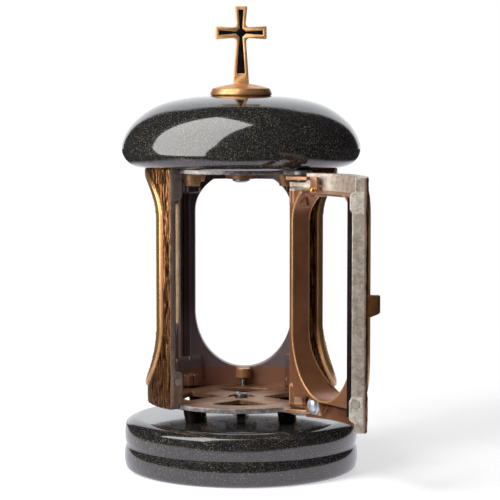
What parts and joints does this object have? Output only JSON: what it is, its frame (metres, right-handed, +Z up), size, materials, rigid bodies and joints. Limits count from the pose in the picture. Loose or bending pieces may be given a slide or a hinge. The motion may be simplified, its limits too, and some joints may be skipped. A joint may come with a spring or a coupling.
{
  "type": "grave lantern",
  "caption": "Round grave lantern with a granite base and cap, a cast bronze body with tall oval windows, a hinged front door and a cross on top.",
  "frame": {"origin": "centre of the base's underside, where the lantern stands", "axes": "+Z up along the lantern's axis; -Y towards the front, where the doorway is; +X to the right, on the hinge's side"},
  "size_m": [0.1608, 0.1993, 0.2952],
  "materials": {
    "black_granite": "polished black granite with fine pale flecks",
    "cast_bronze": "antique bronze casting, dark in the hollows and rubbed gold on the raised rims",
    "plate_bronze": "dull cast bronze with machined faces",
    "finial_bronze": "rubbed gold bronze",
    "black_inlay": "glossy black",
    "seal_rubber": "dark brown rubber",
    "magnet_metal": "dull nickelled",
    "hinge_steel": "worn steel",
    "zinc_steel": "bright zinc plating",
    "screw_brass": "bright brass",
    "anchor_brass": "plain brass"
  },
  "bodies": {
    "lantern": {"granite_base": "black_granite", "granite_cap": "black_granite", "floor_plate": "plate_bronze", "top_plate": "plate_bronze", "left_panel": "cast_bronze", "back_panel": "cast_bronze", "right_panel": "cast_bronze", "post_magnet": "magnet_metal", "lower_hinge_pin": "hinge_steel", "upper_hinge_pin": "hinge_steel", "lower_panel_screws": "hinge_steel", "upper_panel_screws": "hinge_steel", "corner_screws": "screw_brass", "base_bolt": "hinge_steel", "cap_bolt": "hinge_steel", "base_anchor": "anchor_brass", "cap_anchor": "anchor_brass", "finial_disc": "finial_bronze", "finial_cross": "finial_bronze", "cross_inlay": "black_inlay", "finial_stud": "hinge_steel"},
    "door": {"door_panel": "cast_bronze", "door_knob": "cast_bronze", "door_seal_strip": "seal_rubber", "door_magnet": "magnet_metal", "lower_hinge_bracket": "hinge_steel", "upper_hinge_bracket": "hinge_steel", "lower_bracket_washer": "zinc_steel", "upper_bracket_washer": "screw_brass", "lower_bracket_screw": "zinc_steel", "upper_bracket_screw": "screw_brass"}
  },
  "joints": [
    {"name": "door_hinge", "type": "hinge", "parent": "lantern", "child": "door", "pos_m": [0.03908, -0.05093, 0.1182], "axis": [0, 0, 1], "range_deg": [-123.3, 12]}
  ]
}
